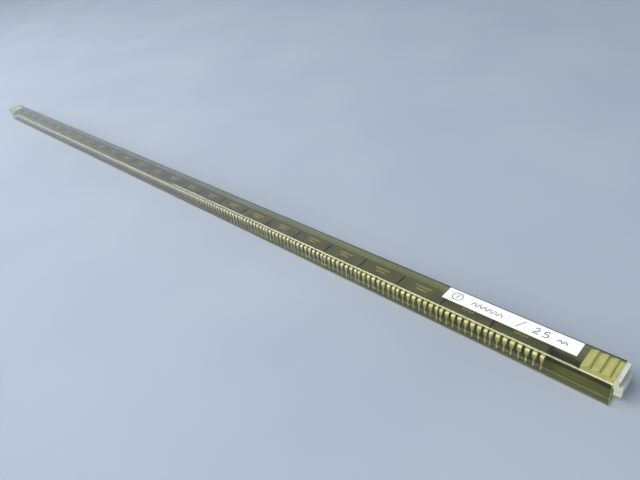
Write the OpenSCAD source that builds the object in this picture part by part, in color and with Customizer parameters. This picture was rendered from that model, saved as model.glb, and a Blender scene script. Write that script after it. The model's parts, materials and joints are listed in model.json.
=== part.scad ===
// Stick magazine: a clear extruded tube that holds a row of 16-lead
// dual in-line packages, closed at both ends by toothed rubber plugs.
// X runs along the tube, Y across it and Z up. The origin is at the
// middle of the tube, on the surface that it lies on.

/* [Chips] */
// Number of chips in the tube
chips = 25; // [1:1:28]
// Length of a moulded body
chip_l = 19.3; // [18.6:0.1:24]
// Width of a moulded body at its parting line
chip_w = 6.4; // [5.4:0.1:7.6]
// Height of a moulded body
chip_h = 3.3; // [2.6:0.1:4.2]
// Draft of the body's sides and ends, in degrees
draft = 7; // [3:0.5:10]
// Gap between neighbouring bodies
chip_gap = 0.25; // [0.1:0.05:1]
// Radius of the notch in the end of the body that has pin 1
notch_r = 0.8; // [0.6:0.1:1.2]
// Depth of the notch below the top
notch_d = 0.9; // [0.5:0.1:1.2]
// Radius of the dimple over pin 1
dimple_r = 0.45; // [0.3:0.05:0.7]
// Depth of the dimple over pin 1
dimple_d = 0.12; // [0.05:0.01:0.3]

/* [Leads] */
// Leads along each side
leads_per_side = 8; // [4:1:8]
// Distance from lead to lead
lead_pitch = 2.54; // [2.1:0.01:2.65]
// Thickness of the leadframe
lead_t = 0.25; // [0.2:0.01:0.35]
// Width of a lead's shoulder
shoulder_w = 1.45; // [1:0.05:1.8]
// Width of a lead's pin below the shoulder
pin_w = 0.5; // [0.35:0.05:0.7]
// Radius of the bend, at the middle of the metal
bend_r = 0.45; // [0.3:0.05:0.6]
// Flat metal between the body and the bend
exit_l = 0.3; // [0.15:0.05:0.6]
// Height of the body above the foot of the shoulders
standoff = 0.5; // [0.3:0.05:0.8]
// Length of the pins below the foot of the shoulders
pin_l = 3.2; // [2.6:0.1:4]
// Outward lean of the leads, in degrees
splay = 6.3; // [2:0.1:9]

/* [Leadframe inside a body] */
// Length of the die pad
pad_l = 6; // [4:0.1:8]
// Width of the die pad
pad_w = 3; // [2:0.1:3.6]
// Gap between the die pad and the inner ends of the leads
pad_gap = 0.35; // [0.2:0.05:0.6]
// Width of the two bars that hold the die pad
tie_w = 0.5; // [0.3:0.05:0.8]
// Cover of plastic over the ends of those bars
tie_cover = 0.3; // [0.2:0.05:0.6]
// Length of the silicon die
die_l = 2.4; // [1.4:0.1:3.6]
// Width of the silicon die
die_w = 1.9; // [1:0.1:2.4]
// Thickness of the silicon die
die_t = 0.35; // [0.2:0.05:0.5]
// Thickness of the glue under the silicon die
die_bond = 0.03; // [0.02:0.01:0.08]

/* [Tube] */
// Wall thickness of the tube
wall = 0.55; // [0.4:0.05:0.8]
// Space between the lead tips and each side wall
side_clear = 0.43; // [0.2:0.01:1]
// Space between the lead tips and the floor of the leg channels
tip_clear = 0.5; // [0.2:0.05:1.5]
// Space above the chips
headroom = 1.4; // [0.8:0.1:3]
// Width of the open groove under the tube
groove_w = 2.6; // [2:0.1:3.6]
// Running clearance between a chip and the rail that it slides on
rail_clear = 0.05; // [0.02:0.01:0.2]
// Radius of the outer corners
corner_r = 0.7; // [0.6:0.05:1]
// Empty length between the near plug and the first chip
near_free = 9.9; // [2:0.1:30]
// Empty length between the far plug and the last chip
far_free = 5.6; // [2:0.1:30]

/* [Plugs] */
// Teeth on each plug
teeth = 3; // [2:1:5]
// Distance from tooth to tooth
tooth_pitch = 2.85; // [2.2:0.05:4]
// Depth of the teeth
tooth_d = 0.95; // [0.4:0.05:1.4]
// Plain neck between the last tooth and the end of the tube
neck_l = 1.45; // [0.8:0.05:3]
// Width of the inside of the tube that a plug leaves free
plug_slack = 2.3; // [0.4:0.1:3]
// Running clearance round a plug
plug_clear = 0.1; // [0.05:0.01:0.2]
// Gap between a plug's head and the end of the tube
seat_gap = 0.05; // [0.02:0.01:0.2]
// How far the foot of the head stands out of the tube
head_l = 2.3; // [1.8:0.1:4]
// How far the bar at the top of the head stands out of the tube
bar_l = 1.4; // [1.1:0.1:1.7]
// Height of the bar at the top of the head
bar_h = 1; // [0.6:0.1:1.5]
// How deep the waist under the bar is cut back from the bar's face
waist_d = 0.4; // [0.2:0.05:0.6]
// How far the head hangs below the top of the rail
head_drop = 1.85; // [1:0.05:3]
// Radius of the lower outer edge of the head
head_r = 0.5; // [0.2:0.05:0.8]

/* [Label] */
// Length of the paper label
label_l = 47.5; // [20:0.5:80]
// Width of the paper label
label_w = 6; // [4:0.1:8]
// Thickness of the paper label
label_t = 0.1; // [0.08:0.01:0.2]
// Distance from the near end of the tube to the label
label_inset = 11.8; // [5:0.1:40]
// Distance from the back edge of the tube to the label
label_edge = 0.85; // [0.7:0.05:1.5]

/* [Hidden] */
$fn = 48;
bend_steps = 3;

// Heights, worked up from the floor of the leg channels
pin_foot = wall + tip_clear;
seat_z = pin_foot + pin_l;
chip_z = seat_z + standoff;
exit_z = chip_z + chip_h / 2;
rail_z = chip_z - rail_clear;
roof_z = chip_z + chip_h + headroom;
tube_h = roof_z + wall;

// Widths, worked outwards from the chip
bend_y = chip_w / 2 + exit_l;
leg_y = bend_y + bend_r * cos(splay);
leg_z = exit_z - bend_r + bend_r * sin(splay);
tip_y = leg_y + (leg_z - pin_foot) * tan(splay);
tip_half = lead_t / 2 / cos(splay);
room_w = 2 * (tip_y + tip_half + side_clear);
tube_w = room_w + 2 * wall;
rail_w = groove_w + 2 * wall;

// Lengths
plug_in = teeth * tooth_pitch + neck_l;
chip_step = chip_l + chip_gap;
tube_l = 2 * plug_in + near_free + far_free + chips * chip_step - chip_gap;
first_chip_x = tube_l / 2 - plug_in - near_free - chip_l / 2;
lead_span = (leads_per_side - 1) * lead_pitch;
end_shoulder = min(shoulder_w / 2, (chip_l - lead_span) / 2 - lead_t);

// Plugs
plug_w = room_w - plug_slack;
plug_top = roof_z - plug_clear;
plug_foot = rail_z + plug_clear;
head_top = roof_z + wall / 2;
head_foot = rail_z - head_drop;

function two_digits(i) = str(i < 10 ? "0" : "", i);
function chip_node(i, piece) = str("chip_", two_digits(i), "_", piece);
function chip_x(i) = first_chip_x - (i - 1) * chip_step;

// Stands a shape drawn in Y and Z on its face and runs it along X.
module along_x(length) {
    translate([-length / 2, 0, 0])
        rotate([90, 0, 90])
            linear_extrude(length) children();
}

// Stands a shape drawn in X and Z upright and runs it across Y.
module across_y(width) {
    translate([0, width / 2, 0])
        rotate([90, 0, 0])
            linear_extrude(width) children();
}

// A rectangle standing on the X axis with four round corners.
module round_rect(w, h, r) {
    translate([-w / 2 + r, 0]) square([w - 2 * r, h]);
    translate([-w / 2, r]) square([w, h - 2 * r]);
    for (x = [-w / 2 + r, w / 2 - r], y = [r, h - r])
        translate([x, y]) circle(r);
}

// Section of the tube: an upside-down U whose legs are closed channels,
// with a hollow rail between them that carries the bodies.
module tube_section() {
    difference() {
        round_rect(tube_w, tube_h, corner_r);
        difference() {
            translate([0, wall])
                round_rect(room_w, roof_z - wall, corner_r - wall / 2);
            translate([-rail_w / 2, 0]) square([rail_w, rail_z]);
        }
        translate([-groove_w / 2, -wall])
            square([groove_w, rail_z]);
    }
}

module tube() {
    color([0.55, 0.58, 0.28, 0.45])
        along_x(tube_l) tube_section();
}

module label() {
    color("white")
        translate([
            tube_l / 2 - label_inset - label_l,
            tube_w / 2 - label_edge - label_w,
            tube_h
        ])
            cube([label_l, label_w, label_t]);
}

// Side view of a plug that enters the tube towards -X, its head at x = 0.
module plug_side() {
    // teeth: each rises towards the head and drops steeply behind its tip
    for (k = [0:teeth - 1])
        translate([-plug_in + k * tooth_pitch, 0])
            polygon([
                [0, plug_foot],
                [tooth_pitch, plug_foot],
                [tooth_pitch, plug_top - tooth_d],
                [0.86 * tooth_pitch, plug_top],
                [0.6 * tooth_pitch, plug_top],
                [0, plug_top - tooth_d]
            ]);
    translate([-neck_l, plug_foot])
        square([neck_l + seat_gap + bar_l - waist_d, plug_top - tooth_d / 2 - plug_foot]);
    // bar along the top of the head
    translate([seat_gap, head_top - bar_h])
        square([bar_l - seat_gap, bar_h]);
    // waist and foot of the head, which stands out as a finger grip
    waist_z = head_top - bar_h;
    grip_z = waist_z - 1.6 * (head_l - bar_l + waist_d);
    polygon([
        [seat_gap, head_foot],
        [head_l - head_r, head_foot],
        [head_l - head_r, head_foot + head_r],
        [head_l, head_foot + head_r],
        [head_l, grip_z],
        [bar_l - waist_d, waist_z - 0.2 * bar_h],
        [bar_l - waist_d, waist_z],
        [seat_gap, waist_z]
    ]);
    translate([head_l - head_r, head_foot + head_r]) circle(head_r);
}

module plug() {
    color([0.93, 0.93, 0.82])
        across_y(plug_w) plug_side();
}

// The near plug has been pushed in against the back wall.
module near_plug() {
    translate([tube_l / 2, plug_slack / 2 - plug_clear, 0]) plug();
}

// The far plug sits in the middle of the tube.
module far_plug() {
    translate([-tube_l / 2, 0, 0]) rotate([0, 0, 180]) plug();
}

// Six-sided section of a moulded body, widest at its parting line.
module drafted(w) {
    inset = chip_h / 2 * tan(draft);
    polygon([
        [-w / 2 + inset, chip_z], [w / 2 - inset, chip_z],
        [w / 2, exit_z],
        [w / 2 - inset, chip_z + chip_h], [-w / 2 + inset, chip_z + chip_h],
        [-w / 2, exit_z]
    ]);
}

// Moulded body with the notch at its far end.
module body_block() {
    difference() {
        intersection() {
            along_x(chip_l) drafted(chip_w);
            across_y(chip_w) drafted(chip_l);
        }
        translate([-chip_l / 2, 0, chip_z + chip_h - notch_d])
            cylinder(r = notch_r, h = 2 * notch_d);
        translate([
            -lead_span / 2,
            -chip_w / 2 + 3 * dimple_r,
            chip_z + chip_h - dimple_d
        ])
            cylinder(r = dimple_r, h = 2 * dimple_d);
    }
}

// Points along the bend of a lead at radius r, between two angles.
function bend_arc(r, from, to) = [
    for (k = [0:bend_steps])
        let (a = from + (to - from) * k / bend_steps)
            [bend_y + r * cos(a), exit_z - bend_r + r * sin(a)]
];

// Side view of one lead, from its inner end to its tip.
module lead_bend() {
    inner = pad_w / 2 + pad_gap;
    polygon(concat(
        [[inner, exit_z + lead_t / 2]],
        bend_arc(bend_r + lead_t / 2, 90, splay),
        [[tip_y + tip_half, pin_foot], [tip_y - tip_half, pin_foot]],
        bend_arc(bend_r - lead_t / 2, splay, 90),
        [[inner, exit_z - lead_t / 2]]
    ));
}

// Front view of one lead: shoulder, taper and pin. left and right are
// the shoulder's half widths.
module lead_front(left, right) {
    taper = 0.4 * standoff + 0.2;
    point = 0.35 * pin_w;
    polygon([
        [-left, exit_z + lead_t],
        [-left, seat_z + taper],
        [-pin_w / 2, seat_z],
        [-pin_w / 2, pin_foot + 2 * point],
        [-pin_w / 2 + point, pin_foot - lead_t],
        [pin_w / 2 - point, pin_foot - lead_t],
        [pin_w / 2, pin_foot + 2 * point],
        [pin_w / 2, seat_z],
        [right, seat_z + taper],
        [right, exit_z + lead_t]
    ]);
}

module lead(left, right) {
    intersection() {
        along_x(left + right + shoulder_w) lead_bend();
        across_y(4 * tip_y) lead_front(left, right);
    }
}

// All the metal of one chip: its leads, the die pad with its tie bars,
// and the silicon die on it.
module leadframe() {
    half = shoulder_w / 2;
    for (side = [0, 180], k = [0:leads_per_side - 1])
        rotate([0, 0, side])
            translate([-lead_span / 2 + k * lead_pitch, 0, 0])
                lead(
                    k == 0 ? end_shoulder : half,
                    k == leads_per_side - 1 ? end_shoulder : half
                );
    translate([-pad_l / 2, -pad_w / 2, exit_z - lead_t / 2])
        cube([pad_l, pad_w, lead_t]);
    translate([-chip_l / 2 + notch_r + tie_cover, -tie_w / 2, exit_z - lead_t / 2])
        cube([chip_l - notch_r - 2 * tie_cover, tie_w, lead_t]);
    translate([-die_l / 2, -die_w / 2, exit_z + lead_t / 2 + die_bond])
        cube([die_l, die_w, die_t]);
}

module chip_body(i) {
    color([0.16, 0.16, 0.15])
        translate([chip_x(i), 0, 0])
            difference() {
                body_block();
                leadframe();
            }
}

module chip_leads(i) {
    color([0.78, 0.77, 0.70])
        translate([chip_x(i), 0, 0]) leadframe();
}

tube();
label();
near_plug();
far_plug();
for (i = [1:chips]) {
    chip_body(i);
    chip_leads(i);
}
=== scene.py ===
"""Looks of a stick magazine: a clear tube that holds 25 dual in-line packages between two rubber plugs.

X runs along the tube, Y across it and Z up, in metres. The sizes of each sub-assembly are fields of
its class, in millimetres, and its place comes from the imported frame.
"""

import json
import logging
import math
from collections.abc import Callable, Iterator, Sequence
from contextlib import contextmanager
from dataclasses import dataclass, field, replace
from enum import Enum, IntEnum

import bmesh
import bpy
from mathutils import Matrix, Vector

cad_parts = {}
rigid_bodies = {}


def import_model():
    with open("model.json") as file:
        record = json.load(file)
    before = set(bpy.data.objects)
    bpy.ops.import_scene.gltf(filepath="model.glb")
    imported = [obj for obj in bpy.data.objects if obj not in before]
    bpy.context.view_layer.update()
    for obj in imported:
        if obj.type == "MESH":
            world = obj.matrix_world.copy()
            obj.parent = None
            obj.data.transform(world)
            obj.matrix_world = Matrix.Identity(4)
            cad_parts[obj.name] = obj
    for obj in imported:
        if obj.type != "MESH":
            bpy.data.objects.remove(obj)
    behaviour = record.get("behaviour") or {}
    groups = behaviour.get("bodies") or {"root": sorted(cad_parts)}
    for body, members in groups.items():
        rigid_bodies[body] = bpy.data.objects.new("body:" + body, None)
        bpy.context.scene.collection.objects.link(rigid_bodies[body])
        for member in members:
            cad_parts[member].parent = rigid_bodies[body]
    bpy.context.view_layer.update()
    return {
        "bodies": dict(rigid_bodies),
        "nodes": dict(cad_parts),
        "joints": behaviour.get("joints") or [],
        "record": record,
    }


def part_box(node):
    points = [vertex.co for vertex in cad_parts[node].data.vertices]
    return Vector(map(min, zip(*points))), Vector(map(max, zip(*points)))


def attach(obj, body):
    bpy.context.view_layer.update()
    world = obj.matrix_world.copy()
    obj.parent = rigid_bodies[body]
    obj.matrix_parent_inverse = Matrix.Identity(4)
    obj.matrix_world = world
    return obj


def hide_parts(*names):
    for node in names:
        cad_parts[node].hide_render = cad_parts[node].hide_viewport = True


MM = 0.001
HAIR = 0.01 * MM

log = logging.getLogger("stick_magazine")

Colour = tuple[float, float, float]
Triple = tuple[float, float, float]
Pair = tuple[float, float]
Material = bpy.types.Material
Socket = bpy.types.NodeSocket
PlaceTest = Callable[[Vector], bool]
FaceTest = Callable[[Vector, Vector], bool]


class Axis(Enum):
    """A direction of the frame."""

    X = (1, 0, 0)
    Y = (0, 1, 0)
    Z = (0, 0, 1)

    @property
    def vector(self) -> Vector:
        """The axis as a unit vector."""
        return Vector(self.value)


class Slot(Enum):
    """The record's material slots."""

    PVC = "clear_pvc"
    RUBBER = "plug_rubber"
    EPOXY = "epoxy"
    TIN = "tinned_leadframe"
    PAPER = "paper"


class Skin(IntEnum):
    """The tube's finishes, by the index of its material."""

    DRAWN = 0
    SAWN = 1
    CORNER = 2
    GROOVE = 3
    ROOF = 4


def mm(x: float, y: float, z: float) -> Vector:
    """A place or a step that is given in millimetres."""
    return Vector((x, y, z)) * MM


# ---- Modelling with Blender's operators ----


def deselect() -> None:
    """Deselects every object, because an operator acts on all that is selected."""
    bpy.ops.object.select_all(action="DESELECT")


def pick(*objects: bpy.types.Object) -> None:
    """Selects only these objects and makes the first one active.

    Args:
        objects: The objects to select.
    """
    deselect()
    for obj in objects:
        obj.select_set(True)
    bpy.context.view_layer.objects.active = objects[0]


class Model:
    """One mesh that is being modelled, its faces, edges and points selected by their place."""

    def __init__(self, obj: bpy.types.Object, name: str) -> None:
        """Takes an object and applies its place to its mesh.

        Args:
            obj: The object, fresh from its operator.
            name: Its new name.
        """
        self.object = obj
        obj.name = obj.data.name = name
        pick(obj)
        bpy.ops.object.transform_apply(location=True, rotation=True, scale=True)

    @classmethod
    def block(cls, name: str, low: Vector, high: Vector) -> "Model":
        """A cube stretched between two corners.

        Args:
            name: Name of the object.
            low: Lowest corner.
            high: Highest corner.

        Returns:
            The new model.
        """
        deselect()
        bpy.ops.mesh.primitive_cube_add(size=1, location=(low + high) / 2, scale=high - low)
        return cls(bpy.context.object, name)

    @classmethod
    def rod(cls, name: str, foot: Vector, radius: float, height: float) -> "Model":
        """An upright cylinder.

        Args:
            name: Name of the object.
            foot: Middle of its lower end.
            radius: Its radius.
            height: Its height.

        Returns:
            The new model.
        """
        deselect()
        centre = foot + Axis.Z.vector * height / 2
        bpy.ops.mesh.primitive_cylinder_add(vertices=32, radius=radius, depth=height, location=centre)
        return cls(bpy.context.object, name)

    @contextmanager
    def editing(self, mode: str) -> Iterator[None]:
        """Edit mode with nothing selected.

        Args:
            mode: VERT, EDGE or FACE, the kind of element that is selected.

        Returns:
            A context that goes back to object mode at its end.
        """
        pick(self.object)
        bpy.ops.object.mode_set(mode="EDIT")
        bpy.ops.mesh.select_mode(type=mode)
        bpy.ops.mesh.select_all(action="DESELECT")
        yield
        bpy.ops.object.mode_set(mode="OBJECT")

    def select(self, kind: str, test: Callable[..., bool]) -> None:
        """Selects the elements of one kind that pass a test, and no others.

        Args:
            kind: verts, edges or faces.
            test: Says whether an element is selected.
        """
        bpy.ops.mesh.select_all(action="DESELECT")
        mesh = bmesh.from_edit_mesh(self.object.data)
        chosen = [element for element in getattr(mesh, kind) if test(element)]
        for element in chosen:
            element.select_set(True)
        mesh.select_flush_mode()
        bmesh.update_edit_mesh(self.object.data)
        if not chosen:
            raise ValueError(f"nothing selected among the {kind} of {self.object.name}")

    def select_faces(self, test: FaceTest) -> None:
        """Selects faces by centre and normal."""
        self.select("faces", lambda f: test(f.calc_center_median(), f.normal))

    def select_edges(self, test: PlaceTest) -> None:
        """Selects the edges whose two ends pass the test."""
        self.select("edges", lambda e: all(test(v.co) for v in e.verts))

    def select_points(self, test: PlaceTest) -> None:
        """Selects points by place."""
        self.select("verts", lambda v: test(v.co))

    def cut(self, axis: Axis, places: list[float]) -> None:
        """Bisects the whole mesh at planes across an axis.

        Args:
            axis: The axis that the planes are square to.
            places: Where each plane crosses it.
        """
        for place in places:
            bpy.ops.mesh.select_all(action="SELECT")
            bpy.ops.mesh.bisect(plane_co=axis.vector * place, plane_no=axis.vector)

    def extrude(self, by: Vector | Triple) -> None:
        """Extrudes the selection and moves it."""
        bpy.ops.mesh.extrude_region_move(TRANSFORM_OT_translate={"value": by})

    def resize(self, factors: Triple, about: Vector | Triple) -> None:
        """Resizes the selection about a point.

        Args:
            factors: Factor along X, Y and Z.
            about: The point that stays in place.
        """
        bpy.ops.transform.resize(value=factors, center_override=about)

    def modify(self, kind: str, **settings: object) -> None:
        """Adds a modifier, sets it and applies it.

        Args:
            kind: Blender's name of the modifier.
            settings: Its settings.
        """
        modifier = self.object.modifiers.new(kind.lower(), kind)
        for name, value in settings.items():
            setattr(modifier, name, value)
        pick(self.object)
        bpy.ops.object.modifier_apply(modifier=modifier.name)

    def soften(self, width: float, segments: int, angle: float = 40) -> None:
        """Bevels every edge that is sharper than an angle.

        Args:
            width: Width of the bevel.
            segments: Segments across it.
            angle: Smallest angle of a sharp edge, in degrees.
        """
        limit = math.radians(angle)
        self.modify("BEVEL", width=width, segments=segments, limit_method="ANGLE", angle_limit=limit)

    def carve(self, cutter: "Model") -> None:
        """Takes another model's shape out of this one and removes the other."""
        self.modify("BOOLEAN", operation="DIFFERENCE", solver="EXACT", object=cutter.object)
        bpy.data.objects.remove(cutter.object)

    def smooth(self, angle: float) -> None:
        """Shades smoothly across edges that are blunter than an angle in degrees."""
        pick(self.object)
        bpy.ops.object.shade_smooth_by_angle(angle=math.radians(angle))
        self.modify("WEIGHTED_NORMAL", keep_sharp=True)

    def join(self, *others: "Model") -> None:
        """Joins other models into this one."""
        pick(self.object, *(other.object for other in others))
        bpy.ops.object.join()

    def dress(self, *materials: Material) -> None:
        """Gives the mesh its materials, the first one all over."""
        self.object.data.materials.clear()
        for material in materials:
            self.object.data.materials.append(material)

    def copy(self, name: str, place: Matrix) -> bpy.types.Object:
        """Copies the object with a mesh of its own.

        Args:
            name: Name of the copy.
            place: Where the copy goes, applied to its mesh.

        Returns:
            The copy.
        """
        pick(self.object)
        bpy.ops.object.duplicate(linked=False)
        twin = bpy.context.object
        twin.name = twin.data.name = name
        twin.data.transform(place)
        return twin

    def discard(self) -> None:
        """Removes the pattern piece when all its copies are made."""
        bpy.data.objects.remove(self.object)


def seat(obj: bpy.types.Object, body: str, slot: Slot | None, *nodes: str) -> None:
    """Makes a finished piece ride on its body and stand for its CAD nodes.

    Args:
        obj: The finished piece.
        body: The CAD body that it rides on.
        slot: The record's material slot, or None for a piece that has none; not used.
        nodes: The CAD nodes that it stands for.
    """
    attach(obj, body)
    if nodes:
        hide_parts(*nodes)
    log.info("%s, %d faces, rides on %s", obj.name, len(obj.data.polygons), body)


# ---- Finishes ----


PVC_INDEX = 1.53


@dataclass(frozen=True)
class Grain:
    """Noise in a finish: lump and depth are in millimetres, and stretch is along X, Y and Z."""

    lump: float
    octaves: float
    stretch: Triple = (1, 1, 1)
    depth: float = 0.0


class Graph:
    """A material and short calls for the nodes that the finishes share."""

    def __init__(self, name: str) -> None:
        """Starts an empty material.

        Args:
            name: Name of the material.
        """
        self.material = bpy.data.materials.new(name)
        self.material.use_nodes = True
        self.tree = self.material.node_tree
        self.tree.nodes.clear()
        self.place = self.node("ShaderNodeTexCoord").outputs["Object"]

    def node(self, kind: str, **settings: object) -> bpy.types.ShaderNode:
        """Adds a node.

        Args:
            kind: Blender's name of the node.
            settings: Its properties.

        Returns:
            The node.
        """
        made = self.tree.nodes.new(kind)
        for name, value in settings.items():
            setattr(made, name, value)
        return made

    def link(self, source: Socket, target: Socket) -> None:
        """Joins an output to an input."""
        self.tree.links.new(source, target)

    def noise(self, grain: Grain) -> Socket:
        """Noise from 0 to 1 whose lumps have a real size.

        Args:
            grain: Its size, octaves and stretch.

        Returns:
            The noise.
        """
        mapping = self.node("ShaderNodeMapping")
        mapping.inputs["Scale"].default_value = [1 / factor for factor in grain.stretch]
        noise = self.node("ShaderNodeTexNoise")
        noise.inputs["Scale"].default_value = 1 / (grain.lump * MM)
        noise.inputs["Detail"].default_value = grain.octaves
        self.link(self.place, mapping.inputs["Vector"])
        self.link(mapping.outputs["Vector"], noise.inputs["Vector"])
        return noise.outputs["Fac"]

    def along(self, axis: Axis) -> Socket:
        """Distance from the origin along an axis, in metres."""
        parts = self.node("ShaderNodeSeparateXYZ")
        self.link(self.place, parts.inputs[0])
        return parts.outputs[axis.name]

    def blend(self, share: Socket, start: Socket, end: Socket) -> Socket:
        """Blends two colours.

        Args:
            share: Share of the second colour.
            start: The first colour.
            end: The second colour.

        Returns:
            The colour between them.
        """
        mix = self.node("ShaderNodeMix", data_type="RGBA")
        for index, source in ((0, share), (6, start), (7, end)):
            self.link(source, mix.inputs[index])
        return mix.outputs[2]

    def span(
        self, source: Socket, low: float, high: float, edges: Sequence[float] = (0.3, 0.7)
    ) -> Socket:
        """Spreads a value over a range.

        Args:
            source: The value.
            low: Result at the lower edge.
            high: Result at the upper edge.
            edges: The values that give the lowest and highest results.

        Returns:
            The result.
        """
        spread = self.node("ShaderNodeMapRange")
        for index, number in enumerate((*edges, low, high), start=1):
            spread.inputs[index].default_value = number
        self.link(source, spread.inputs[0])
        return spread.outputs[0]

    def shades(self, source: Socket, places: tuple[float, ...], colours: tuple[Colour, ...]) -> Socket:
        """Turns a value into a colour.

        Args:
            source: The value.
            places: Values from 0 to 1, in order.
            colours: The colour at each of them.

        Returns:
            The colour.
        """
        ramp = self.node("ShaderNodeValToRGB")
        while len(ramp.color_ramp.elements) < len(places):
            ramp.color_ramp.elements.new(1)
        for element, place, colour in zip(ramp.color_ramp.elements, places, colours, strict=True):
            element.position = place
            element.color = (*colour, 1)
        self.link(source, ramp.inputs[0])
        return ramp.outputs[0]

    def relief(self, layers: dict[Grain, Socket]) -> Socket | None:
        """Stacks the bumps of the grains that have a depth.

        Args:
            layers: The noise of each grain.

        Returns:
            The normal, or None where no grain has a depth.
        """
        normal = None
        for grain, height in layers.items():
            if not grain.depth:
                continue
            bump = self.node("ShaderNodeBump")
            bump.inputs["Distance"].default_value = grain.depth * MM
            self.link(height, bump.inputs["Height"])
            if normal:
                self.link(normal, bump.inputs["Normal"])
            normal = bump.outputs["Normal"]
        return normal

    def surface(self, **settings: object) -> bpy.types.ShaderNode:
        """The main shader, with its sockets set or joined.

        Args:
            settings: A socket's name in lower case with underscores, and a number, the output that
                drives it, or None to leave it alone.

        Returns:
            The shader.
        """
        shader = self.node("ShaderNodeBsdfPrincipled")
        for name, value in settings.items():
            socket = next(s for s in shader.inputs if s.name.lower().replace(" ", "_") == name)
            if isinstance(value, Socket):
                self.link(value, socket)
            elif value is not None:
                socket.default_value = value
        return shader

    def finish(self, shader: Socket) -> Material:
        """Joins the last shader to the output and returns the material."""
        self.link(shader, self.node("ShaderNodeOutputMaterial").inputs["Surface"])
        return self.material


@dataclass(frozen=True)
class Finish:
    """A finish whose colour follows a coarse grain, and its roughness a fine one or the same one.

    The colours stand at places from 0 to 1 in the coarse grain or, where there is a zone, between
    its two heights in millimetres. roughness is the lowest and the highest, and more holds other
    settings of the main shader.
    """

    name: str
    coarse: Grain
    places: tuple[float, ...]
    colours: tuple[Colour, ...]
    roughness: Pair
    fine: Grain | None = None
    zone: Pair | None = None
    more: dict[str, float] = field(default_factory=dict)

    def material(self) -> Material:
        """Builds the material."""
        graph = Graph(self.name)
        fine = self.fine or self.coarse
        noises = {grain: graph.noise(grain) for grain in (self.coarse, fine)}
        tone = noises[self.coarse]
        # A zone paints the colour by height; the tin's zone is a painted highlight.
        if self.zone:
            tone = graph.span(graph.along(Axis.Z), 0, 1, [height * MM for height in self.zone])
        shader = graph.surface(
            base_color=graph.shades(tone, self.places, self.colours),
            roughness=graph.span(noises[fine], *self.roughness),
            normal=graph.relief(noises),
            **self.more,
        )
        return graph.finish(shader.outputs[0])


# The sawn ends of the tube scatter light: clear, then burred.
SAWN_PVC = Finish(
    name="sawn_pvc",
    coarse=Grain(0.16, 3, stretch=(1, 1, 9), depth=0.02),
    places=(0.3, 0.7),
    colours=((0.62, 0.66, 0.42), (0.86, 0.88, 0.70)),
    roughness=(0.42, 0.42),
    more={"ior": PVC_INDEX, "transmission_weight": 0.35},
)
# Soft cream rubber, moulded: soiled, plain, then with a dry bloom.
PALE_RUBBER = Finish(
    name="pale_rubber",
    coarse=Grain(1.8, 4, depth=0.03),
    fine=Grain(0.09, 3, depth=0.012),
    places=(0.25, 0.45, 0.75),
    colours=((0.49, 0.48, 0.42), (0.56, 0.56, 0.49), (0.62, 0.62, 0.56)),
    roughness=(0.5, 0.72),
    more={"specular_ior_level": 0.35, "subsurface_weight": 0.06, "subsurface_scale": 0.2 * MM},
)
# Black filled epoxy with the fine sparkle of a spark-eroded mould: clean, then dusty.
BLACK_EPOXY = Finish(
    name="black_epoxy",
    coarse=Grain(3.0, 4),
    fine=Grain(0.06, 2, depth=0.008),
    places=(0.35, 0.75),
    colours=((0.070, 0.070, 0.080), (0.110, 0.108, 0.110)),
    roughness=(0.42, 0.62),
)
# Hot-dipped tin on the leads, lumpy, with a painted highlight in its colour: dull on the pins and bright on
# the shoulders.
HOT_DIPPED_TIN = Finish(
    name="hot_dipped_tin",
    coarse=Grain(0.8, 1, depth=0.2),
    fine=Grain(0.12, 3, stretch=(1, 1, 6), depth=0.004),
    # Painted highlight: the colour brightens with height from 5.3 mm to 6.4 mm.
    zone=(5.3, 6.4),
    places=(0, 1),
    colours=((0.46, 0.46, 0.46), (1.0, 0.98, 0.88)),
    roughness=(0.16, 0.30),
    more={"metallic": 0.25},
)
# White uncoated paper with a trace of fibre.
LABEL_PAPER = Finish(
    name="label_paper",
    coarse=Grain(0.18, 5, stretch=(3, 1, 1), depth=0.01),
    places=(0.35, 0.8),
    colours=((0.90, 0.90, 0.89), (0.82, 0.82, 0.80)),
    roughness=(0.75, 0.9),
    more={"specular_ior_level": 0.3},
)
# The inks are thinner in places.
PEN_INK = Finish(
    name="pen_ink",
    coarse=Grain(0.22, 4, depth=0.003),
    places=(0.4, 0.75),
    colours=((0.015, 0.015, 0.02), (0.06, 0.06, 0.07)),
    roughness=(0.5, 0.65),
)
MARKING_INK = replace(
    PEN_INK,
    name="marking_ink",
    colours=((0.62, 0.54, 0.36), (0.42, 0.36, 0.25)),
    roughness=(0.55, 0.70),
)
# Plain pale floor.
STUDIO_FLOOR = Finish(
    name="studio_floor",
    coarse=Grain(90, 2),
    places=(0.3, 0.7),
    colours=((0.34, 0.38, 0.46), (0.37, 0.41, 0.49)),
    roughness=(0.85, 0.85),
    more={"specular_ior_level": 0.2},
)


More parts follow.
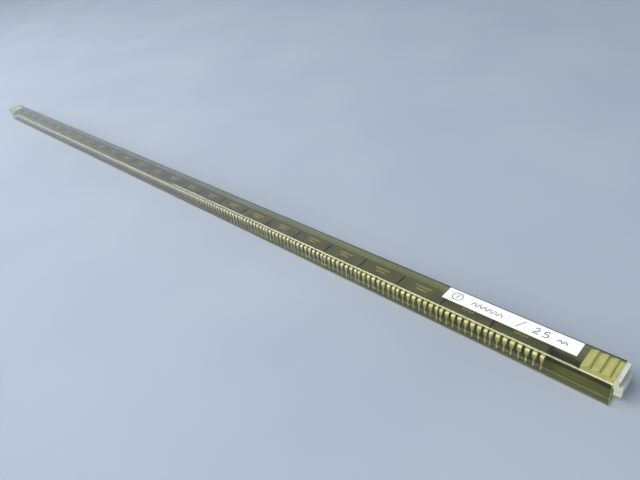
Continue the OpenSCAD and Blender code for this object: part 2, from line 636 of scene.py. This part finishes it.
@dataclass(frozen=True)
class ClearPvc:
    """Olive-tinted clear PVC, drawn lengthwise through a die, with a painted reflection that greys it towards
    the far end.

    Each tint has a deeper one for the thicker waves. The greyer tints are the painted reflection, and they
    turn into the olive tints over a stretch of X given in millimetres.
    """

    name: str = "clear_olive_pvc"
    tint: Colour = (0.685, 0.675, 0.46)
    deep_tint: Colour = (0.635, 0.625, 0.41)
    # Painted reflection: greyer tints for the far end of the tube.
    painted_sheen_tint: Colour = (0.75, 0.75, 0.69)
    deep_painted_sheen_tint: Colour = (0.69, 0.69, 0.64)
    tint_places: Pair = (0.3, 0.75)
    # The painted reflection fades into the olive tints over this stretch of X, in millimetres.
    sheen_fade: Pair = (20, 200)
    index: float = 1.25
    gloss: float = 0.3
    glint: float = 0.0
    lamp_loss: float = 0.4
    roughness: Pair = (0.02, 0.06)
    scuff_edges: Pair = (0.45, 0.85)
    waves: Grain = Grain(2.2, 1, stretch=(14, 1, 1), depth=0.004)
    die_lines: Grain = Grain(0.35, 2, stretch=(400, 1, 1), depth=0.002)
    scuffs: Grain = Grain(1.2, 6, stretch=(6, 1, 1))

    def material(self) -> Material:
        """Builds the material: glass that lets lamps light what is inside it."""
        graph = Graph(self.name)
        relief = {grain: graph.noise(grain) for grain in (self.waves, self.die_lines)}
        waves = relief[self.waves]
        glass = graph.surface(
            # Painted reflection: the base colour greys from the olive tints towards the far end.
            base_color=graph.blend(
                graph.span(graph.along(Axis.X), 0, 1, [place * MM for place in self.sheen_fade]),
                graph.shades(waves, self.tint_places, (self.painted_sheen_tint, self.deep_painted_sheen_tint)),
                graph.shades(waves, self.tint_places, (self.tint, self.deep_tint)),
            ),
            roughness=graph.span(graph.noise(self.scuffs), *self.roughness, self.scuff_edges),
            ior=self.index,
            transmission_weight=1.0,
            specular_ior_level=self.gloss,
            metallic=self.glint,
            normal=graph.relief(relief),
        )
        lamp_path = graph.node("ShaderNodeBsdfTransparent")
        lamp_path.inputs["Color"].default_value = (*(c**self.lamp_loss for c in self.tint), 1)
        mix = graph.node("ShaderNodeMixShader")
        shadow = graph.node("ShaderNodeLightPath").outputs["Is Shadow Ray"]
        for index, source in enumerate((shadow, glass.outputs[0], lamp_path.outputs[0])):
            graph.link(source, mix.inputs[index])
        return graph.finish(mix.outputs[0])


# ---- Sub-assemblies ----


@dataclass
class Tube:
    """The extruded tube: an upside-down U with closed legs and a hollow rail between them.

    low and high are the corners of its box, in metres.
    """

    low: Vector
    high: Vector
    wall: float = 0.55
    groove_w: float = 2.6
    rail_top: float = 4.70
    corner_r: float = 0.7
    inner_corner_r: float = 0.425
    corner_segments: int = 6
    end_break: float = 0.05
    line_z: float = 3.5
    line_h: float = 0.3
    line_d: float = 0.12
    overrun: float = 5
    corner_rise: float = 0.35
    groove_rise: float = 0.05

    def _section(self, name: str, low: Vector, high: Vector, notch_w: float, notch_roof: float) -> Model:
        """A bar along X whose section is a rectangle with a notch in the middle of its foot.

        Args:
            name: Name of the object.
            low: Lowest corner of the bar.
            high: Highest corner of the bar.
            notch_w: Width of the notch.
            notch_roof: Height of its roof.

        Returns:
            The bar.
        """
        bar = Model.block(name, low, high)
        with bar.editing("FACE"):
            bar.select_faces(lambda centre, normal: normal.x < 0.5)
            bpy.ops.mesh.delete(type="FACE")
            bar.cut(Axis.Y, [-notch_w / 2, notch_w / 2])
            bar.cut(Axis.Z, [notch_roof])
            bar.select_faces(lambda centre, normal: abs(centre.y) < notch_w / 2 and centre.z < notch_roof)
            bpy.ops.mesh.delete(type="FACE")
            bpy.ops.mesh.select_all(action="SELECT")
            bar.extrude((low.x - high.x, 0, 0))
            bpy.ops.mesh.select_all(action="SELECT")
            bpy.ops.mesh.dissolve_limited(angle_limit=math.radians(1))
            bpy.ops.mesh.select_all(action="SELECT")
            bpy.ops.mesh.normals_make_consistent(inside=False)
        return bar

    def _round(self, bar: Model, radius: float, corners: PlaceTest) -> None:
        """Rounds the long edges at some corners of the section.

        Args:
            bar: The bar to round.
            radius: Radius of the corners.
            corners: Says whether a point is at such a corner.
        """
        with bar.editing("EDGE"):
            bar.select(
                "edges",
                lambda e: all(corners(v.co) for v in e.verts)
                and abs(e.verts[0].co.x - e.verts[1].co.x) > (self.high.x - self.low.x) / 2,
            )
            bpy.ops.mesh.bevel(offset=radius, segments=self.corner_segments)

    def build(self, skins: list[Material]) -> None:
        """Models the tube.

        Args:
            skins: Its materials, in the order of Skin.
        """
        wall = self.wall * MM
        half_w = self.high.y
        rail_w = (self.groove_w + 2 * self.wall) * MM
        inset = mm(0, self.wall, self.wall)
        overrun = mm(self.overrun, 0, 0)
        shell = self._section(
            "tube_shell", self.low, self.high, self.groove_w * MM, (self.rail_top - self.wall) * MM
        )
        self._round(shell, self.corner_r * MM, lambda p: abs(p.y) > half_w - HAIR)
        self._score(shell)
        core = self._section(
            "chamber", self.low + inset - overrun, self.high - inset + overrun, rail_w, self.rail_top * MM
        )
        self._round(core, self.inner_corner_r * MM, lambda p: abs(p.y) > half_w - wall - HAIR)
        shell.carve(core)
        shell.soften(self.end_break * MM, segments=2, angle=50)
        shell.smooth(angle=35)
        shell.dress(*skins)
        self._paint(shell)
        seat(shell.object, "tube", Slot.PVC, "tube")

    def _score(self, shell: Model) -> None:
        """Cuts the fine groove that the die leaves along both sides.

        Args:
            shell: The outside of the tube, before it is hollow.
        """
        with shell.editing("VERT"):
            shell.cut(Axis.Z, [(self.line_z + share * self.line_h) * MM for share in (-0.5, 0, 0.5)])
            for side in (-1, 1):
                shell.select_points(
                    lambda p, s=side: p.y * s > self.high.y - HAIR and abs(p.z - self.line_z * MM) < HAIR
                )
                bpy.ops.transform.translate(value=(0, -side * self.line_d * MM, 0))

    def _paint(self, shell: Model) -> None:
        """Gives the sawn ends, the upper corners, the grooves and the roof their own finish.

        Args:
            shell: The finished tube.
        """
        ends = (self.low.x, self.high.x)
        corner_y = self.high.y - self.corner_r * MM
        corner_z = self.high.z - self.corner_r * MM
        line_z, reach = self.line_z * MM, self.line_h / 2 * MM
        roof_z = self.high.z - 1.5 * self.wall * MM
        for face in shell.object.data.polygons:
            place, normal = face.center, face.normal
            at_side = abs(place.y) > corner_y
            if abs(normal.x) > 0.5 and min(abs(place.x - end) for end in ends) < 5 * HAIR:
                face.material_index = Skin.SAWN
            elif at_side and place.z > corner_z and normal.z > self.corner_rise:
                face.material_index = Skin.CORNER
            elif at_side and abs(place.z - line_z) < reach and normal.z > self.groove_rise:
                face.material_index = Skin.GROOVE
            elif abs(normal.z) > 0.95 and place.z > roof_z:
                face.material_index = Skin.ROOF


@dataclass
class Plug:
    """A rubber plug: a toothed tongue inside the tube and a head with a bar and a finger grip."""

    teeth: int = 3
    tooth_pitch: float = 2.85
    tooth_d: float = 0.95
    crest: Pair = (0.60, 0.86)
    neck_l: float = 1.45
    width: float = 7.8
    tongue_top: float = 9.35
    tongue_foot: float = 4.8
    keel_z: float = 6.9
    keel_d: float = 1.9
    seat_gap: float = 0.05
    head_l: float = 2.3
    head_top: float = 9.725
    head_foot: float = 2.85
    bar_l: float = 1.4
    bar_h: float = 1.0
    waist_d: float = 0.4
    waist_h: float = 0.2
    grip_slope: float = 1.6
    head_r: float = 0.5
    head_segments: int = 5
    edge_r: float = 0.11

    def pattern(self, rubber: Material) -> Model:
        """Models one plug that enters the tube towards -X, its head at x = 0 and its middle at y = 0.

        Args:
            rubber: Its material.

        Returns:
            The plug.
        """
        waist_x = (self.bar_l - self.waist_d) * MM
        waist_z = (self.head_top - self.bar_h) * MM
        shoulder_z = waist_z - self.waist_h * MM
        grip_z = waist_z - self.grip_slope * (self.head_l - self.bar_l + self.waist_d) * MM
        root_z = (self.tongue_top - self.tooth_d) * MM
        neck_z = (self.tongue_top - self.tooth_d / 2) * MM
        foot_z = self.tongue_foot * MM
        keel_z = self.keel_z * MM
        keel_scale = 1 - 2 * self.keel_d / self.width
        half_w = self.width / 2 * MM
        seat_x = self.seat_gap * MM
        neck_x = -self.neck_l * MM
        plug = Model.block(
            "plug_pattern",
            Vector((seat_x, -half_w, self.head_foot * MM)),
            Vector((waist_x, half_w, self.head_top * MM)),
        )
        with plug.editing("FACE"):
            plug.cut(Axis.Z, [foot_z, keel_z, root_z, neck_z, waist_z, shoulder_z, grip_z])
            plug.select_faces(lambda c, n: n.x > 0.5 and c.z > waist_z)
            plug.extrude((self.waist_d * MM, 0, 0))
            plug.select_faces(lambda c, n: n.x < -0.5 and foot_z < c.z < neck_z)
            plug.extrude((neck_x - seat_x, 0, 0))
            plug.select_faces(lambda c, n: n.x < -0.5 and c.x < neck_x + HAIR and c.z < root_z)
            plug.extrude((-self.teeth * self.tooth_pitch * MM, 0, 0))
        with plug.editing("VERT"):
            plug.select_points(lambda p: p.x < neck_x + HAIR and abs(p.z - foot_z) < HAIR)
            plug.resize((1, keel_scale, 1), (0, 0, foot_z))
        self._raise_teeth(plug, neck_x, root_z)
        with plug.editing("VERT"):
            plug.select_points(lambda p: p.x > waist_x - HAIR and p.z < grip_z + HAIR)
            bpy.ops.transform.translate(value=((self.head_l - self.bar_l + self.waist_d) * MM, 0, 0))
        with plug.editing("EDGE"):
            outer = self.head_l * MM - HAIR
            plug.select_edges(lambda p: p.x > outer and p.z < self.head_foot * MM + HAIR)
            bpy.ops.mesh.bevel(offset=self.head_r * MM, segments=self.head_segments)
        with plug.editing("FACE"):
            bpy.ops.mesh.select_all(action="SELECT")
            bpy.ops.mesh.dissolve_limited(angle_limit=math.radians(1))
        plug.soften(self.edge_r * MM, segments=3, angle=20)
        plug.smooth(angle=40)
        plug.dress(rubber)
        return plug

    def _raise_teeth(self, plug: Model, neck_x: float, root_z: float) -> None:
        """Lifts the crests of the teeth out of the tongue.

        Args:
            plug: The plug, its crests still level.
            neck_x: Where the neck meets the last tooth.
            root_z: Height of the roots of the teeth.
        """
        pitch = self.tooth_pitch * MM
        starts = [neck_x - (k + 1) * pitch for k in range(self.teeth)]
        crests = [start + share * pitch for start in starts for share in self.crest]
        with plug.editing("VERT"):
            plug.cut(Axis.X, [*crests, *starts[:-1]])
            plug.select_points(
                lambda p: p.z > root_z - HAIR and min(abs(p.x - crest) for crest in crests) < HAIR
            )
            bpy.ops.transform.translate(value=(0, 0, self.tooth_d * MM))

    def build(self, rubber: Material) -> None:
        """Places a plug at each end of the tube.

        Args:
            rubber: Its material.
        """
        plug = self.pattern(rubber)
        for node, turn in (("near_plug", 0.0), ("far_plug", math.pi)):
            low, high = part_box(node)
            end_x = high.x - self.head_l * MM if turn == 0 else low.x + self.head_l * MM
            place = Matrix.Translation((end_x, (low.y + high.y) / 2, 0)) @ Matrix.Rotation(turn, 4, "Z")
            seat(plug.copy(f"{node}_rubber", place), node, Slot.RUBBER, node)
        plug.discard()


@dataclass
class Chip:
    """One dual in-line package: a moulded body with a printed top, and its leadframe and die."""

    length: float = 19.3
    width: float = 6.4
    height: float = 3.3
    draft: float = 7
    foot_z: float = 4.75
    edge_r: float = 0.12
    flash: float = 0.04
    notch_r: float = 0.8
    notch_d: float = 0.9
    dimple_r: float = 0.45
    dimple_d: float = 0.12
    dimple_inset: float = 1.35
    leads_per_side: int = 8
    lead_pitch: float = 2.54
    lead_t: float = 0.25
    shoulder_w: float = 1.45
    end_shoulder: float = 0.51
    pin_w: float = 0.5
    bend_r: float = 0.45
    bend_steps: int = 4
    exit_l: float = 0.3
    taper_l: float = 0.4
    pin_foot: float = 1.05
    pin_l: float = 3.2
    point_l: float = 0.35
    point_share: float = 0.3
    splay: float = 6.3
    pad: Pair = (6.0, 3.0)
    pad_gap: float = 0.35
    tie_w: float = 0.5
    tie_cover: float = 0.3
    die: Triple = (2.4, 1.9, 0.35)
    die_edge: float = 0.03
    print_rows: Pair = (0.85, -0.75)
    print_widths: tuple[tuple[float, ...], ...] = (
        (0.7, 0.5, 0.7, 0.55, 0.7, 0.4, 0.65),
        (0.6, 0.6, 0.35, 0.7, 0.5),
    )
    print_gap: float = 0.42
    print_heights: Pair = (0.779, 0.95)
    print_t: float = 0.012
    print_r: float = 0.1
    print_line: float = 0.17

    @property
    def top_z(self) -> float:
        """Height of the body's top, in millimetres."""
        return self.foot_z + self.height

    @property
    def exit_z(self) -> float:
        """Height at which the leads leave the body, in millimetres."""
        return self.foot_z + self.height / 2

    @property
    def row_l(self) -> float:
        """From the first lead of a row to its last, in millimetres."""
        return (self.leads_per_side - 1) * self.lead_pitch

    def body(self, epoxy: Material) -> Model:
        """Models the moulded body around x = 0.

        Args:
            epoxy: Its material.

        Returns:
            The body.
        """
        half = mm(self.length, self.width, 0) / 2
        foot, top, parting = self.foot_z * MM, self.top_z * MM, self.exit_z * MM
        flash = self.flash * MM
        inset = self.height / 2 * math.tan(math.radians(self.draft))
        block = Model.block("body_pattern", Vector((-half.x, -half.y, foot)), Vector((half.x, half.y, top)))
        shrink = (1 - 2 * inset / self.length, 1 - 2 * inset / self.width, 1)
        with block.editing("VERT"):
            block.cut(Axis.Z, [parting])
            for level in (foot, top):
                block.select_points(lambda p, z=level: abs(p.z - z) < HAIR)
                block.resize(shrink, (0, 0, level))
        block.soften(self.edge_r * MM, segments=2, angle=30)
        with block.editing("VERT"):
            block.cut(Axis.Z, [parting - flash, parting + flash])
            block.select_points(lambda p: abs(p.z - parting) < HAIR)
            spread = (1 + self.flash / self.length, 1 + self.flash / self.width, 1)
            block.resize(spread, (0, 0, parting))
        notch_foot = mm(-self.length / 2, 0, self.top_z - self.notch_d)
        block.carve(Model.rod("notch", notch_foot, self.notch_r * MM, 2 * self.notch_d * MM))
        dimple_y = self.dimple_inset - self.width / 2
        dimple_foot = mm(-self.row_l / 2, dimple_y, self.top_z - self.dimple_d)
        block.carve(Model.rod("dimple", dimple_foot, self.dimple_r * MM, 2 * self.dimple_d * MM))
        block.smooth(angle=25)
        block.dress(epoxy)
        return block

    def _lead(self) -> Model:
        """Models one lead at x = 0 on the +Y side: stub, bend, shoulder, taper, pin and point.

        Returns:
            The lead.
        """
        half_t = self.lead_t / 2
        bend_y = self.width / 2 + self.exit_l
        inner_y = self.pad[1] / 2 + self.pad_gap
        lean = math.radians(self.splay)
        seat_z = self.pin_foot + self.pin_l
        bend_foot_z = self.exit_z - self.bend_r * (1 - math.sin(lean))
        heights = (bend_foot_z, seat_z + self.taper_l, seat_z, self.pin_foot + self.point_l, self.pin_foot)
        narrowings = (1, self.pin_w / self.shoulder_w, 1, self.point_share)
        half_w = self.shoulder_w / 2
        down = mm(0, math.tan(lean), -1)
        lead = Model.block(
            "lead_pattern",
            mm(-half_w, inner_y, self.exit_z - half_t),
            mm(half_w, bend_y, self.exit_z + half_t),
        )
        with lead.editing("FACE"):
            lead.select_faces(lambda c, n: n.y > 0.5)
            bpy.ops.mesh.spin(
                steps=self.bend_steps,
                angle=math.pi / 2 - lean,
                center=mm(0, bend_y, self.exit_z - self.bend_r),
                axis=Axis.X.vector,
            )
            tip = mm(0, bend_y + self.bend_r * math.cos(lean), bend_foot_z)
            for above, below, narrowing in zip(heights, heights[1:], narrowings, strict=False):
                step = down * (above - below)
                lead.extrude(step)
                tip = tip + step
                lead.resize((narrowing, 1, 1), tip)
            bpy.ops.mesh.select_all(action="SELECT")
            bpy.ops.mesh.normals_make_consistent(inside=False)
        return lead

    def _paddle(self) -> Model:
        """Models the die pad with its two tie bars, and the die on it.

        Returns:
            The pad and the die.
        """
        half_t = self.lead_t / 2
        pad_l, pad_w = self.pad
        low = mm(-pad_l / 2, -pad_w / 2, self.exit_z - half_t)
        high = mm(pad_l / 2, pad_w / 2, self.exit_z + half_t)
        pad = Model.block("pad_pattern", low, high)
        tie = self.tie_w / 2 * MM
        near_x = (self.length / 2 - self.tie_cover) * MM
        far_x = (-self.length / 2 + self.notch_r + self.tie_cover) * MM
        with pad.editing("FACE"):
            pad.cut(Axis.Y, [-tie, tie])
            for side, reach in ((1, near_x - high.x), (-1, far_x - low.x)):
                pad.select_faces(lambda c, n, s=side: n.x * s > 0.5 and abs(c.y) < tie)
                pad.extrude((reach, 0, 0))
        die_l, die_w, die_t = self.die
        die_foot = self.exit_z + half_t
        die = Model.block(
            "die_pattern",
            mm(-die_l / 2, -die_w / 2, die_foot),
            mm(die_l / 2, die_w / 2, die_foot + die_t),
        )
        die.soften(self.die_edge * MM, segments=1)
        pad.join(die)
        return pad

    def leadframe(self, tin: Material) -> Model:
        """Models all the metal of one chip around x = 0.

        Args:
            tin: Its material.

        Returns:
            The leadframe.
        """
        row = self._lead()
        row.object.data.transform(Matrix.Translation((-self.row_l / 2 * MM, 0, 0)))
        row.modify(
            "ARRAY",
            count=self.leads_per_side,
            use_relative_offset=False,
            use_constant_offset=True,
            constant_offset_displace=(self.lead_pitch * MM, 0, 0),
        )
        limit = (self.row_l / 2 + self.end_shoulder) * MM
        trim = (self.shoulder_w / 2 - self.end_shoulder) * MM
        with row.editing("VERT"):
            for side in (-1, 1):
                row.select_points(lambda p, s=side: p.x * s > limit + HAIR)
                bpy.ops.transform.translate(value=(-side * trim, 0, 0))
            bpy.ops.mesh.select_all(action="SELECT")
            bpy.ops.mesh.duplicate()
            bpy.ops.transform.rotate(value=math.pi, orient_axis="Z", center_override=(0, 0, 0))
        row.join(self._paddle())
        row.smooth(angle=35)
        row.dress(tin)
        return row

    def marking(self, ink: Material) -> Model:
        """Models the print on the top: two rows of plain marks around x = 0.

        Args:
            ink: Its material.

        Returns:
            The print.
        """
        bars = []
        for row_y, row in zip(self.print_rows, self.print_widths, strict=True):
            x = -(sum(row) + self.print_gap * (len(row) - 1)) / 2
            for index, width in enumerate(row):
                half_h = self.print_heights[index % 2] / 2
                low = mm(x, row_y - half_h, self.top_z - self.print_t)
                high = mm(x + width, row_y + half_h, self.top_z + self.print_t)
                bars.append(self._bar(low, high, index))
                x += width + self.print_gap
        bars[0].join(*bars[1:])
        bars[0].dress(ink)
        return bars[0]

    def _bar(self, low: Vector, high: Vector, index: int) -> Model:
        """One mark of the print: a flat ring, or for every third one a plain bar.

        Args:
            low: Its lowest corner.
            high: Its highest corner.
            index: Its place in the row.

        Returns:
            The mark.
        """
        bar = Model.block("print_pattern", low, high)
        with bar.editing("EDGE"):
            bar.select("edges", lambda e: abs(e.verts[0].co.z - e.verts[1].co.z) > HAIR / 2)
            bpy.ops.mesh.bevel(offset=self.print_r * MM, segments=2)
        if index % 3 != 2:
            with bar.editing("FACE"):
                bar.select_faces(lambda c, n: abs(n.z) > 0.5)
                bpy.ops.mesh.inset(thickness=self.print_line * MM)
                bpy.ops.mesh.bridge_edge_loops()
        return bar

    def build(self, bodies: list[str], epoxy: Material, tin: Material, ink: Material) -> None:
        """Copies the chip to each of its places in the tube.

        Args:
            bodies: Names of the CAD bodies of the chips.
            epoxy: Material of the moulded body.
            tin: Material of the leadframe.
            ink: Material of the print.
        """
        body = self.body(epoxy)
        frame = self.leadframe(tin)
        marking = self.marking(ink)
        for name in bodies:
            low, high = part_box(f"{name}_body")
            place = Matrix.Translation(((low.x + high.x) / 2, 0, 0))
            seat(body.copy(f"{name}_epoxy", place), name, Slot.EPOXY, f"{name}_body")
            seat(frame.copy(f"{name}_leadframe", place), name, Slot.TIN, f"{name}_leads")
            seat(marking.copy(f"{name}_print", place), name, None)
        for pattern in (body, frame, marking):
            pattern.discard()


@dataclass
class Label:
    """The paper strip on the top, with marks made by a pen: low and high are its corners, in metres."""

    low: Vector
    high: Vector
    paper_t: float = 0.05
    glue: float = 0.01
    wave: float = 0.03
    wave_l: float = 9
    ink_rise: float = 0.55
    pen_r: float = 0.16
    pen_t: float = 0.02
    ring_middle: Pair = (4.6, 3.1)
    ring_radii: Pair = (1.9, 1.75)
    columns: int = 120
    rows: int = 16

    def paper(self, material: Material) -> Model:
        """Models the strip, which lies a little wavy.

        Args:
            material: Its material.

        Returns:
            The strip.
        """
        deselect()
        centre, size = (self.low + self.high) / 2, self.high - self.low
        foot = self.low.z + self.glue * MM
        bpy.ops.mesh.primitive_grid_add(
            x_subdivisions=self.columns, y_subdivisions=self.rows, size=1, location=(centre.x, centre.y, foot)
        )
        bpy.ops.transform.resize(value=(size.x, size.y, 1))
        strip = Model(bpy.context.object, "label_paper")
        ripple = bpy.data.textures.new("label_ripple", "CLOUDS")
        ripple.noise_scale = self.wave_l * MM
        strip.modify("DISPLACE", texture=ripple, strength=self.wave * MM, mid_level=0.0)
        strip.modify("SOLIDIFY", thickness=self.paper_t * MM, offset=1)
        strip.smooth(angle=40)
        strip.dress(material)
        return strip

    def _stroke(self, points: list[Pair], origin: Vector, closed: bool = False) -> Model:
        """One stroke of the pen, as a flat ribbon with round ends.

        Args:
            points: Where the pen goes, in millimetres from the label's front far corner.
            origin: That corner, at the height of the ink.
            closed: Whether the stroke comes back to its start.

        Returns:
            The stroke.
        """
        deselect()
        bpy.ops.curve.primitive_bezier_curve_add()
        curve = bpy.context.object.data
        curve.dimensions = "3D"
        curve.bevel_depth = self.pen_r * MM
        curve.bevel_resolution = 1
        curve.resolution_u = 4
        curve.use_fill_caps = True
        spline = curve.splines[0]
        spline.use_cyclic_u = closed
        spline.bezier_points.add(len(points) - len(spline.bezier_points))
        for knot, (x, y) in zip(spline.bezier_points, points, strict=True):
            knot.co = origin + mm(x, y, 0)
            knot.handle_left_type = knot.handle_right_type = "AUTO"
        bpy.ops.object.convert(target="MESH")
        stroke = Model(bpy.context.object, "pen_stroke")
        with stroke.editing("VERT"):
            bpy.ops.mesh.select_all(action="SELECT")
            stroke.resize((1, 1, self.pen_t / (2 * self.pen_r)), origin)
        return stroke

    def marks(self, material: Material) -> Model:
        """Models the pen marks: a ringed numeral, a wavy line, a slash, a plain number and a short wave.

        Args:
            material: The ink.

        Returns:
            The marks.
        """
        rise = self.glue + self.paper_t + self.wave * self.ink_rise
        origin = self.low + mm(0, 0, rise)
        (ring_x, ring_y), (ring_rx, ring_ry) = self.ring_middle, self.ring_radii
        turns = [math.tau * k / 10 for k in range(10)]
        ring = [(ring_x + ring_rx * math.cos(a), ring_y + ring_ry * math.sin(a)) for a in turns]
        numeral = [(4.3, 2.2), (4.7, 3.1), (4.9, 4.1)]
        wave = [(10.5 + 0.95 * k, (2.15, 3.65)[k % 2]) for k in range(13)]
        slash = [(27.3, 1.3), (28.2, 2.9), (29.3, 4.7)]
        two = [(33.0, 3.9), (33.8, 4.4), (34.3, 3.7), (33.7, 2.7), (32.9, 1.8), (33.8, 1.9), (34.7, 1.8)]
        five = [(37.7, 4.4), (36.5, 4.3), (36.2, 3.2), (37.2, 3.3), (37.6, 2.5), (36.9, 1.8), (35.9, 1.9)]
        tail = [(40.4 + 0.8 * k, (2.4, 3.35)[k % 2]) for k in range(5)]
        strokes = [self._stroke(ring, origin, closed=True)]
        strokes += [self._stroke(line, origin) for line in (numeral, wave, slash, two, five, tail)]
        strokes[0].join(*strokes[1:])
        strokes[0].object.name = strokes[0].object.data.name = "label_pen_marks"
        strokes[0].smooth(angle=60)
        strokes[0].dress(material)
        return strokes[0]

    def build(self, paper: Material, ink: Material) -> None:
        """Models the strip and its marks.

        Args:
            paper: Material of the strip.
            ink: Material of the marks.
        """
        seat(self.paper(paper).object, "tube", Slot.PAPER, "label")
        seat(self.marks(ink).object, "tube", None)


# ---- Studio ----


@dataclass(frozen=True)
class Lamp:
    """A soft rectangular lamp that looks at a point."""

    name: str
    place: Triple
    target: Triple
    size: Pair
    watts: float
    colour: Colour

    def build(self) -> None:
        """Adds the lamp."""
        deselect()
        bpy.ops.object.light_add(type="AREA", location=self.place)
        lamp = bpy.context.object
        lamp.name = self.name
        lamp.rotation_euler = (Vector(self.target) - Vector(self.place)).to_track_quat("-Z", "Y").to_euler()
        lamp.data.shape = "RECTANGLE"
        lamp.data.size, lamp.data.size_y = self.size
        lamp.data.energy = self.watts
        lamp.data.color = self.colour


@dataclass
class Studio:
    """Floor, world, lamps and camera."""

    floor_size: float = 8
    sky: Colour = (0.76, 0.87, 1.0)
    sky_heights: Pair = (0.05, 0.6)
    sky_strengths: Pair = (0.7, 0.45)
    offset: Triple = (22.6, -111.6, 131.0)
    azimuth: float = 51.04
    elevation: float = 35.02
    roll: float = -11.78
    lens: float = 29.29
    clip_start: float = 5
    lamps: tuple[Lamp, ...] = (
        Lamp("long_lamp", (-0.62, -0.5, 0.9), (-0.62, 0, 0), (1.8, 0.8), watts=19, colour=(1, 0.98, 0.93)),
        Lamp("front_lamp", (-0.45, -1.25, 0.6), (0, 0, 0), (1.4, 0.7), watts=9, colour=(1, 0.99, 0.97)),
    )

    def _camera(self) -> None:
        """Adds the camera, placed from the tube's near, front, upper corner."""
        low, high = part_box("tube")
        corner = Vector((high.x, low.y, high.z))
        turn, rise, roll = (math.radians(a) for a in (self.azimuth, self.elevation, self.roll))
        back = Vector((math.sin(turn) * math.cos(rise), -math.cos(turn) * math.cos(rise), math.sin(rise)))
        level = Vector((math.cos(turn), math.sin(turn), 0))
        right = level * math.cos(roll) + back.cross(level) * math.sin(roll)
        axes = Matrix((right, back.cross(right), back)).transposed()
        bpy.ops.object.camera_add(location=corner + mm(*self.offset))
        camera = bpy.context.object
        camera.rotation_mode = "QUATERNION"
        camera.rotation_quaternion = axes.to_quaternion()
        camera.data.lens = self.lens
        camera.data.clip_start = self.clip_start * MM
        bpy.context.scene.camera = camera

    def _floor(self) -> None:
        """Adds the floor that the tube lies on."""
        deselect()
        bpy.ops.mesh.primitive_plane_add(size=self.floor_size)
        floor = bpy.context.object
        floor.name = "floor"
        floor.data.materials.append(STUDIO_FLOOR.material())

    def _world(self) -> None:
        """Sets a pale surround that is brightest near the floor."""
        world = bpy.data.worlds.new("studio")
        world.use_nodes = True
        tree = world.node_tree
        surround = tree.nodes["Background"]
        surround.inputs["Color"].default_value = (*self.sky, 1)
        direction = tree.nodes.new("ShaderNodeTexCoord")
        height = tree.nodes.new("ShaderNodeSeparateXYZ")
        fall = tree.nodes.new("ShaderNodeMapRange")
        for index, number in enumerate((*self.sky_heights, *self.sky_strengths), start=1):
            fall.inputs[index].default_value = number
        tree.links.new(direction.outputs["Generated"], height.inputs[0])
        tree.links.new(height.outputs["Z"], fall.inputs[0])
        tree.links.new(fall.outputs[0], surround.inputs["Strength"])
        bpy.context.scene.world = world
        bpy.context.scene.view_settings.view_transform = "Standard"

    def build(self) -> None:
        """Builds the whole studio."""
        self._camera()
        self._floor()
        self._world()
        for lamp in self.lamps:
            lamp.build()


def main() -> None:
    """Builds the studio and every sub-assembly around the frame."""
    logging.basicConfig(level=logging.INFO, format="%(name)s: %(message)s")
    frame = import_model()
    Studio().build()
    skins = {
        Skin.DRAWN: ClearPvc(),
        Skin.SAWN: SAWN_PVC,
        Skin.CORNER: ClearPvc("polished_corner_pvc", glint=0.22),
        Skin.GROOVE: ClearPvc("die_groove_pvc", glint=0.1),
        Skin.ROOF: ClearPvc("roof_pvc", (0.71, 0.71, 0.43), (0.66, 0.66, 0.38), index=PVC_INDEX, gloss=0.5),
    }
    Tube(*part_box("tube")).build([skins[skin].material() for skin in Skin])
    Plug().build(PALE_RUBBER.material())
    Label(*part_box("label")).build(LABEL_PAPER.material(), PEN_INK.material())
    Chip().build(
        sorted(name for name in frame["bodies"] if name.startswith("chip_")),
        BLACK_EPOXY.material(),
        HOT_DIPPED_TIN.material(),
        MARKING_INK.material(),
    )


if __name__ == "__main__":
    main()
